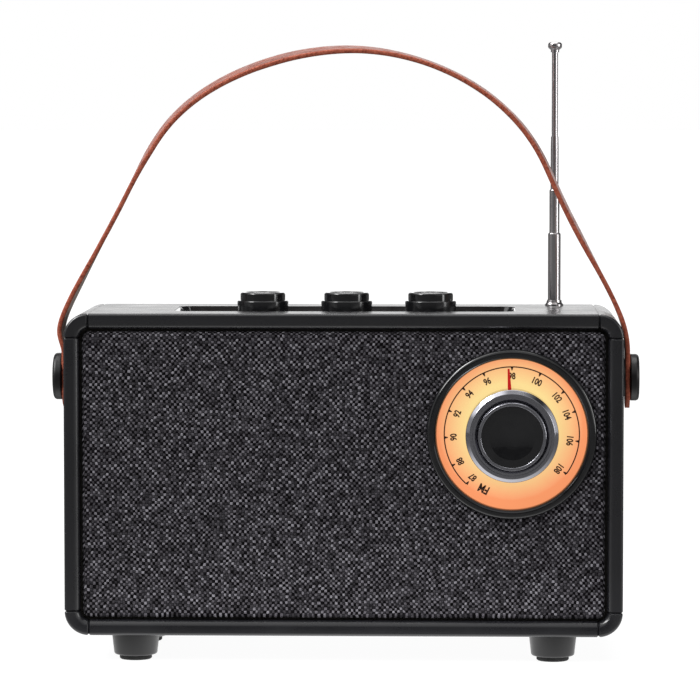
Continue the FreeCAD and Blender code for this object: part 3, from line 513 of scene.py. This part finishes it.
def fibreboard():
    """Dark pressed fibres, for the baffle board and the paper of the speaker cones."""
    board = Shader("fibreboard", roughness=0.85)
    fibres = board.noise(1.2, 5, roughness=0.7)
    board.set("Base Color", board.ramp(fibres, [(0.3, (0.010, 0.009, 0.008)), (0.7, (0.03, 0.026, 0.022))]))
    board.bump(fibres, 0.08, 0.6)
    return board.material


def clear_guide():
    """Milky plastic of the dial's backlight."""
    guide = Shader("clear_guide", roughness=0.3)
    cloud = guide.noise(4, 3)
    guide.set("Base Color", guide.ramp(cloud, [(0.3, (0.8, 0.76, 0.66)), (0.7, (0.92, 0.89, 0.8))]))
    guide.bump(guide.noise(1.0, 2), 0.02, 0.4)
    return guide.material


def shrink_wrap():
    """Blue film round the battery pack."""
    film = Shader("shrink_wrap", roughness=0.3)
    cloud = film.noise(6, 3)
    film.set("Base Color", film.ramp(cloud, [(0.3, (0.02, 0.07, 0.18)), (0.7, (0.03, 0.10, 0.24))]))
    film.bump(film.noise(2.0, 3), 0.05, 0.5)
    return film.material


# ---------------------------------------------------------------- a finish for each slot
def make_materials():
    """One finish for each material slot of the record."""
    return {
        "cabinet": satin_black("cabinet_satin", (0.0085, 0.0085, 0.0105), 0.27, 0.35, 0.01, specular=0.8),
        "backboard": fibreboard(),
        "rear": satin_black("rear_matt", (0.016, 0.016, 0.017), 0.55, 0.6, 0.05),
        "gloss_black": gloss_black(),
        "inner_plastic": satin_black("inner_plastic", (0.03, 0.03, 0.03), 0.5, 0.5, 0.03),
        "dial_print": dial_orange(),
        "backlight": clear_guide(),
        "pointer": pointer_red(),
        "knob_metal": turned_metal(),
        "chrome": polished_metal("chrome", (0.64, 0.61, 0.62), 0.16, 0.24),
        "steel": polished_metal("plated_steel", (0.55, 0.55, 0.57), 0.2, 0.32),
        "button": satin_black("button_satin", (0.006, 0.006, 0.007), 0.38, 0.4, 0.02),
        "foot": satin_black("foot_satin", (0.006, 0.006, 0.0065), 0.42, 0.4, 0.02),
        "rubber": rubber(),
        "board": painted_board(),
        "paper": fibreboard(),
        "battery": shrink_wrap(),
        "grille": woven_cloth(),
        "strap": strap_leather(),
    }


def finish_cad_nodes(materials):
    """Gives each carried-over CAD node the finish of its slot."""
    for subpart in frame["record"]["subparts"]:
        node = frame["nodes"][subpart["node"]]
        node.data.materials.clear()
        node.data.materials.append(materials[subpart["material_slot"]])


# ---------------------------------------------------------------- mesh helpers
def add_piece(name, mesh, materials, body):
    """Puts a mesh in the scene as a piece that moves with this body."""
    piece = new_object(name, mesh)
    mesh.materials.clear()
    for material in materials:
        mesh.materials.append(material)
    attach(piece, body)
    return piece


def new_mesh(name, points, faces):
    mesh = bpy.data.meshes.new(name)
    mesh.from_pydata(points, [], faces)
    mesh.update()
    return mesh


def mesh_of(name, curve):
    """The mesh that a curve or a text takes when it is filled and extruded."""
    holder = new_object(name, curve)
    graph = bpy.context.evaluated_depsgraph_get()
    mesh = bpy.data.meshes.new_from_object(holder.evaluated_get(graph))
    bpy.data.objects.remove(holder)
    return mesh


def apply_modifiers(piece):
    """Replaces the mesh with its modified form."""
    graph = bpy.context.evaluated_depsgraph_get()
    graph.update()
    mesh = bpy.data.meshes.new_from_object(piece.evaluated_get(graph))
    piece.modifiers.clear()
    old, piece.data = piece.data, mesh
    bpy.data.meshes.remove(old)


def smooth(piece, angle):
    """Shades the piece smooth except across edges sharper than this angle in degrees."""
    for polygon in piece.data.polygons:
        polygon.use_smooth = True
    piece.data.set_sharp_from_angle(angle=math.radians(angle))


# ---------------------------------------------------------------- grille cloth
CLOTH_PITCH = 1.2 * MM  # spacing of the grid
CLOTH_ROUND = 1.3 * MM  # rounding where the cloth turns over the frame's edge
CLOTH_CORNER = 3.0 * MM
CLOTH_THICK = 0.6 * MM
CLOTH_SLACK = 0.12 * MM  # how uneven the stretched cloth is
SLACK_WAVES = 60  # its unevenness per metre
SKIRT_GAP = 0.1 * MM  # between the wrapped edge and the board behind it
CLOTH_CENTRE = (CLOTH_LOW + CLOTH_HIGH) / 2
HALF_W = (CLOTH_HIGH.x - CLOTH_LOW.x) / 2
HALF_H = (CLOTH_HIGH.z - CLOTH_LOW.z) / 2
HUB = Vector((DIAL_CENTRE.x, 0, DIAL_CENTRE.z))
NEAR_HOLE = DIAL_RING_R + 2 * CLOTH_PITCH


def past_corner(x, z):
    """How far a point is past the centre of its rounded corner, sideways and upward."""
    return abs(x) - (HALF_W - CLOTH_CORNER), abs(z) - (HALF_H - CLOTH_CORNER)


def edge_distance(x, z):
    """Distance inward from the edge of the rounded rectangle."""
    dx, dz = past_corner(x, z)
    if dx > 0 and dz > 0:
        return CLOTH_CORNER - math.hypot(dx, dz)
    return CLOTH_CORNER - max(dx, dz)


def into_rounded_rectangle(x, z):
    """Draws a point beyond a rounded corner in to it."""
    dx, dz = past_corner(x, z)
    if dx > 0 and dz > 0 and math.hypot(dx, dz) > CLOTH_CORNER:
        k = CLOTH_CORNER / math.hypot(dx, dz)
        x = math.copysign(HALF_W - CLOTH_CORNER + dx * k, x)
        z = math.copysign(HALF_H - CLOTH_CORNER + dz * k, z)
    return x, z


def cloth_grid():
    """Flat grid over the rounded rectangle."""
    mesh = bmesh.new()
    columns, rows = round(2 * HALF_W / CLOTH_PITCH), round(2 * HALF_H / CLOTH_PITCH)
    grid = []
    for j in range(rows + 1):
        line = []
        for i in range(columns + 1):
            x, z = into_rounded_rectangle(HALF_W * (2 * i / columns - 1), HALF_H * (2 * j / rows - 1))
            line.append(mesh.verts.new((CLOTH_CENTRE.x + x, 0, CLOTH_CENTRE.z + z)))
        grid.append(line)
    for j in range(rows):
        for i in range(columns):
            mesh.faces.new((grid[j][i], grid[j][i + 1], grid[j + 1][i + 1], grid[j + 1][i]))
    return mesh


def cut_dial_hole(mesh):
    """Takes out what the dial's ring covers and draws the rim of the hole on to a circle."""
    hidden = [f for f in mesh.faces if (f.calc_center_median() - HUB).length < DIAL_RING_R]
    bmesh.ops.delete(mesh, geom=hidden, context="FACES")
    for vert in mesh.verts:
        spoke = vert.co - HUB
        if vert.is_boundary and spoke.length < NEAR_HOLE:
            vert.co = HUB + spoke * (DIAL_RING_R / spoke.length)


def place_front(mesh):
    """Moves the flat grid to the front face, rounds it over at the edge and gives it a little slack."""
    for vert in mesh.verts:
        inward = edge_distance(vert.co.x - CLOTH_CENTRE.x, vert.co.z - CLOTH_CENTRE.z)
        lift = 0.0
        if inward < CLOTH_ROUND:
            lift = CLOTH_ROUND - math.sqrt(max(0.0, CLOTH_ROUND**2 - (CLOTH_ROUND - inward) ** 2))
        slack = CLOTH_SLACK * (1 + noise.noise(vert.co * SLACK_WAVES))
        vert.co.y = CLOTH_LOW.y + lift + slack


def wrap_edges(mesh):
    """Takes the outer rim back along the sides of the frame."""

    def outside(vert):
        return (vert.co - HUB - Vector((0, vert.co.y, 0))).length > NEAR_HOLE

    rim = [e for e in mesh.edges if e.is_boundary and all(outside(v) for v in e.verts)]
    skirt = bmesh.ops.extrude_edge_only(mesh, edges=rim)["geom"]
    for vert in skirt:
        if isinstance(vert, bmesh.types.BMVert):
            vert.co.y = CLOTH_HIGH.y - SKIRT_GAP
    bmesh.ops.recalc_face_normals(mesh, faces=mesh.faces)


def thicken_inward(piece):
    """Gives the sheet its thickness on the side away from the camera."""
    towards_camera = sum(p.normal.y for p in piece.data.polygons) < 0
    thick = piece.modifiers.new("thickness", "SOLIDIFY")
    thick.thickness = CLOTH_THICK
    thick.offset = -1.0 if towards_camera else 1.0
    apply_modifiers(piece)


def make_cloth(material):
    """Cloth stretched over the grille frame, with a hole for the dial."""
    mesh = cloth_grid()
    cut_dial_hole(mesh)
    place_front(mesh)
    wrap_edges(mesh)
    data = bpy.data.meshes.new("grille_cloth_woven")
    mesh.to_mesh(data)
    mesh.free()
    data.materials.append(material)
    piece = new_object("grille_cloth_woven", data)
    thicken_inward(piece)
    smooth(piece, 60)
    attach(piece, "radio")
    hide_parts("grille_cloth")


# ---------------------------------------------------------------- printed scale on the dial
INK = 0.06 * MM  # thickness of the print
SCALE_R = 27.7 * MM
SCALE_HALF = 0.25 * MM  # half the width of the thin arc
SCALE_STEPS = 132
TICK_LENGTH = 1.5 * MM
TICK_ROOT, TICK_TIP = 0.62 * MM, 0.16 * MM  # half widths of a tick at its two ends
NUMBER_R, NUMBER_HEIGHT = 23.8 * MM, 2.6 * MM
BAND_R, BAND_HEIGHT, BAND_DEGREES = 25.2 * MM, 3.3 * MM, -153
CAPITAL_SHARE = 0.7  # height of a number as a share of the type size
NARROWING = 0.78  # width of the print as a share of the typeface's own
BOLDNESS = 0.05  # how much the strokes are thickened, as a share of the height

# Degrees clockwise from straight up.
STATIONS = {
    "87": -138, "88": -118, "90": -93, "92": -69.5, "94": -46.7, "96": -25,
    "98": 0, "100": 25, "102": 50.4, "104": 70, "106": 96, "108": 126,
}


def on_dial(radius, degrees, lift=INK):
    """A point this far above the dial's face. degrees run clockwise from straight up."""
    a = math.radians(degrees)
    x, z = radius * math.sin(a), radius * math.cos(a)
    return Vector((DIAL_CENTRE.x + x, FACE_LOW.y - lift, DIAL_CENTRE.z + z))


def slab(outline_front):
    """Closed thin slab from an outline on the ink's surface back to the dial's face."""
    n = len(outline_front)
    back = [Vector((p.x, FACE_LOW.y, p.z)) for p in outline_front]
    faces = [tuple(range(n)), tuple(range(2 * n - 1, n - 1, -1))]
    faces += [(i, i + n, (i + 1) % n + n, (i + 1) % n) for i in range(n)]
    return outline_front + back, faces


def scale_line():
    """The thin arc under the numbers, as one closed band."""
    first, last = STATIONS["87"], STATIONS["108"]
    angles = [first + (last - first) * k / SCALE_STEPS for k in range(SCALE_STEPS + 1)]
    inner, outer = SCALE_R - SCALE_HALF, SCALE_R + SCALE_HALF
    section = [(inner, INK), (outer, INK), (outer, 0), (inner, 0)]
    points = [on_dial(r, a, lift) for a in angles for r, lift in section]
    faces = []
    for k in range(SCALE_STEPS):
        for i in range(4):
            j = (i + 1) % 4
            faces.append((4 * k + i, 4 * k + j, 4 * k + 4 + j, 4 * k + 4 + i))
    faces += [(0, 3, 2, 1), tuple(4 * SCALE_STEPS + i for i in range(4))]
    return points, faces


def tick(degrees):
    """Wedge that points from the arc to its number."""
    root, tip = math.degrees(TICK_ROOT / SCALE_R), math.degrees(TICK_TIP / SCALE_R)
    inner = SCALE_R - TICK_LENGTH
    outline = [(SCALE_R, -root), (SCALE_R, root), (inner, tip), (inner, -tip)]
    return slab([on_dial(r, degrees + turn) for r, turn in outline])


def print_text(name, text, radius, degrees, height, material):
    """Raised print, centred at a place on the dial with its top outward."""
    curve = bpy.data.curves.new(name, "FONT")
    curve.body = text
    curve.align_x, curve.align_y = "CENTER", "CENTER"
    curve.size = height / CAPITAL_SHARE
    curve.offset = BOLDNESS * height
    curve.extrude = INK / 2
    curve.resolution_u = 3
    mesh = mesh_of(name, curve)
    narrow = Matrix.Diagonal((NARROWING, 1, 1, 1))
    stand = Matrix.Rotation(math.radians(90), 4, "X")
    turn = Matrix.Rotation(math.radians(degrees), 4, "Y")
    mesh.transform(Matrix.Translation(on_dial(radius, degrees, INK / 2)) @ turn @ stand @ narrow)
    add_piece(name, mesh, [material], "radio")


def make_dial_print(material):
    points, faces = scale_line()
    for degrees in STATIONS.values():
        more_points, more_faces = tick(degrees)
        base = len(points)
        points += more_points
        faces += [tuple(i + base for i in f) for f in more_faces]
    add_piece("dial_scale", new_mesh("dial_scale", points, faces), [material], "radio")
    for text, degrees in STATIONS.items():
        print_text("dial_number_" + text, text, NUMBER_R, degrees, NUMBER_HEIGHT, material)
    print_text("dial_band", "FM", BAND_R, BAND_DEGREES, BAND_HEIGHT, material)


# ---------------------------------------------------------------- leather strap
STRAP_T = 2.0 * MM
STRAP_W = STRAP_HIGH.y - STRAP_LOW.y
STRAP_Y = (STRAP_LOW.y + STRAP_HIGH.y) / 2
STRAP_EDGE = 0.55 * MM  # rounding of the cut edges
STRAP_CROWN = 0.10 * MM  # how much the outer face stands up in the middle of its width
STRAP_WAVE = 0.06 * MM  # how uneven the leather is
WAVES_ALONG, WAVES_ACROSS = 90, 120  # its unevenness per metre
STRAP_LANES = 8
EDGE_STEPS = 4
END_SHARE = 0.985  # how far the rounded end runs towards its point
SKIN, BACK, EDGE = 0, 1, 2  # places in the strap's list of materials

# The middle line, in millimetres: straight tabs beside the cabinet, and the poles of the arch between them.
TAB = 118.0
TAB_TOP = 125.7
TAB_END = STRAP_LOW.z / MM
TAB_STEPS = 14
STRAP_POLES = [
    (-TAB, TAB_TOP),
    (-TAB, TAB_TOP + 3.0),
    (-121.5, 134.0),
    (-116.5, 146.0),
    (-106.0, 166.0),
    (-94.0, 187.5),
    (-79.0, 218.5),
    (-61.5, 234.5),
    (-39.0, 246.0),
    (-8.0, 253.8),
    (24.0, 251.8),
    (57.0, 238.0),
    (79.5, 215.5),
    (88.0, 193.5),
    (103.0, 165.0),
    (115.0, 143.5),
    (TAB, TAB_TOP + 7.0),
    (TAB, TAB_TOP),
]


def strap_line():
    """Points along the strap's middle, with the straight tabs, evenly spread."""
    curve = bpy.data.curves.new("strap_line", "CURVE")
    curve.dimensions = "3D"
    curve.resolution_u = 16
    spline = curve.splines.new("NURBS")
    spline.points.add(len(STRAP_POLES) - 1)
    for point, (x, z) in zip(spline.points, STRAP_POLES):
        point.co = (x * MM, STRAP_Y, z * MM, 1)
    spline.order_u = 4
    spline.use_endpoint_u = True
    arch = [v.co.copy() for v in mesh_of("strap_line", curve).vertices]
    tab_heights = [TAB_END + (TAB_TOP - TAB_END) * k / TAB_STEPS for k in range(TAB_STEPS)]
    left = [Vector((-TAB * MM, STRAP_Y, z * MM)) for z in tab_heights]
    right = [Vector((TAB * MM, STRAP_Y, z * MM)) for z in reversed(tab_heights)]
    return left + arch + right


def strap_section(width):
    """Outline of the strap's cross-section: (across, out, part), where part picks the material."""
    half, face, flat = width / 2, STRAP_T / 2, width / 2 - STRAP_EDGE
    lanes = [flat * (2 * k / STRAP_LANES - 1) for k in range(STRAP_LANES + 1)]
    angles = [math.pi / 2 * k / EDGE_STEPS for k in range(1, EDGE_STEPS)]
    rounding = [(flat + STRAP_EDGE * math.cos(a), STRAP_EDGE * (math.sin(a) - 1)) for a in angles]
    front = face - STRAP_CROWN
    section = [(a, front + STRAP_CROWN * (1 - (a / half) ** 2), SKIN) for a in lanes]
    section += [(a, front + rise, EDGE) for a, rise in reversed(rounding)]
    section += [(half, 0, EDGE)]
    section += [(a, -face - rise, EDGE) for a, rise in rounding]
    section += [(a, -face, BACK) for a in reversed(lanes)]
    section += [(-a, -face - rise, EDGE) for a, rise in reversed(rounding)]
    section += [(-half, 0, EDGE)]
    section += [(-a, front + rise, EDGE) for a, rise in rounding]
    return section


def strap_width(z):
    """Full width, drawn in to a rounded end below the stud."""
    centre_z, radius = TAB_END * MM + STRAP_W / 2, STRAP_W / 2
    if z >= centre_z:
        return STRAP_W
    drop = min(centre_z - z, radius * END_SHARE)
    return 2 * math.sqrt(radius**2 - drop**2)


# Twist in degrees at shares of the strap's length, from the left tab to the right. A positive twist turns the
# outer face towards the front.
TWIST = (
    (0.0, 0.0),
    (0.17, -1.0),
    (0.26, 4.0),
    (0.30, 4.0),
    (0.34, 8.0),
    (0.48, 9.0),
    (0.62, 3.0),
    (0.80, 4.5),
    (0.87, 0.5),
    (1.0, 0.0),
)


def twist_at(share):
    """Twist in radians, eased from one entry of the table to the next."""
    for (a, low), (b, high) in zip(TWIST, TWIST[1:]):
        if share <= b:
            k = (share - a) / (b - a)
            return math.radians(low + (high - low) * k * k * (3 - 2 * k))
    return 0.0


def make_strap(skin, back, edge):
    """Leather band swept along its middle line, with softened edges and a slightly uneven surface."""
    line = strap_line()
    last = len(line) - 1
    round_parts = [part for _, _, part in strap_section(STRAP_W)]
    count = len(round_parts)
    points, faces, parts = [], [], []
    for i, middle in enumerate(line):
        along = (line[min(i + 1, last)] - line[max(i - 1, 0)]).normalized()
        turn = Matrix.Rotation(twist_at(i / last), 3, along)
        out, across_way = turn @ Vector((-along.z, 0, along.x)), turn @ Vector((0, 1, 0))
        for across, rise, _ in strap_section(strap_width(middle.z)):
            place = Vector((middle.x * WAVES_ALONG, across * WAVES_ACROSS, middle.z * WAVES_ALONG))
            wave = STRAP_WAVE * noise.noise(place)
            points.append(middle + across_way * across + out * (rise + wave))
    for i in range(last):
        for k in range(count):
            j = (k + 1) % count
            faces.append((i * count + k, i * count + j, (i + 1) * count + j, (i + 1) * count + k))
            parts.append(max(round_parts[k], round_parts[j]))
    end = last * count
    faces += [tuple(reversed(range(count))), tuple(range(end, end + count))]
    parts += [EDGE, EDGE]
    mesh = new_mesh("strap_leather", points, faces)
    piece = add_piece("strap_leather", mesh, [skin, back, edge], "handle")
    for polygon, part in zip(piece.data.polygons, parts):
        polygon.material_index = part
    fix_normals(piece)
    smooth(piece, 50)
    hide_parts("handle_strap")


def fix_normals(piece):
    """Turns all faces outward."""
    mesh = bmesh.new()
    mesh.from_mesh(piece.data)
    bmesh.ops.recalc_face_normals(mesh, faces=mesh.faces)
    mesh.to_mesh(piece.data)
    mesh.free()


# ---------------------------------------------------------------- put together
bpy.context.scene.view_settings.view_transform = "Standard"
make_camera()
make_lights()
make_world()
make_floor()
materials = make_materials()
finish_cad_nodes(materials)
make_cloth(materials["grille"])
make_dial_print(printed_ink())
make_strap(materials["strap"], strap_back(), strap_edge())
